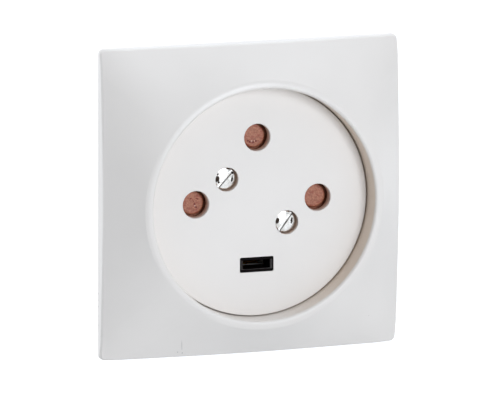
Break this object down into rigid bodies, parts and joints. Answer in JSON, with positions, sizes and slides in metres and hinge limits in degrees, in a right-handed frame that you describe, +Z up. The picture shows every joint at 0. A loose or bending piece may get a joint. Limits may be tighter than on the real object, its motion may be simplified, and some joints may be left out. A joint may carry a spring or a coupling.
{
  "type": "three-phase power socket",
  "caption": "Flush wall socket with a square cover plate, a round raised collar, a sunk face with shuttered round pin holes, a flat earth slot and slotted cover screws.",
  "frame": {"origin": "on the socket's axis in the wall plane, which is the back of the support frame and of the cover plate", "axes": "+Z up with the earth slot at the bottom, +X to the viewer's right, -Y out of the wall towards the user"},
  "size_m": [0.08, 0.0423, 0.08],
  "materials": {
    "white_moulding": "smooth, low gloss",
    "black_moulding": "matt",
    "brown_moulding": "satin",
    "grey_moulding": "matt",
    "contact_brass": "turned",
    "spring_steel": "bright",
    "nickel_plated_steel": "bright plated",
    "zinc_plated_steel": "zinc plated"
  },
  "bodies": {
    "socket": {"centre_cover": "white_moulding", "cover_plate": "white_moulding", "cover_screw_lower": "nickel_plated_steel", "cover_screw_upper": "nickel_plated_steel", "earth_clip": "contact_brass", "earth_shroud": "black_moulding", "earth_terminal": "contact_brass", "frame_rivet_1": "zinc_plated_steel", "frame_rivet_2": "zinc_plated_steel", "frame_rivet_3": "zinc_plated_steel", "frame_rivet_4": "zinc_plated_steel", "grip_ring_left": "spring_steel", "grip_ring_right": "spring_steel", "grip_ring_top": "spring_steel", "phase_sleeve_left": "contact_brass", "phase_sleeve_right": "contact_brass", "phase_sleeve_top": "contact_brass", "rear_housing": "grey_moulding", "rear_screw_lower": "zinc_plated_steel", "rear_screw_upper": "zinc_plated_steel", "shutter_retainer": "spring_steel", "shutter_spring": "spring_steel", "socket_base": "grey_moulding", "support_frame": "zinc_plated_steel", "terminal_screw_earth": "zinc_plated_steel", "terminal_screw_left": "zinc_plated_steel", "terminal_screw_right": "zinc_plated_steel", "terminal_screw_top": "zinc_plated_steel", "thread_insert_lower": "contact_brass", "thread_insert_upper": "contact_brass"},
    "shutter": {"shutter": "brown_moulding"}
  },
  "joints": [
    {"name": "shutter_turn", "type": "hinge", "parent": "socket", "child": "shutter", "pos_m": [0, -0.0025, 0], "axis": [0, -1, 0], "range_deg": [0, 28], "stiffness_Nm_per_rad": 0.01, "springref_deg": -20.05, "deforming": ["shutter_spring"]}
  ]
}
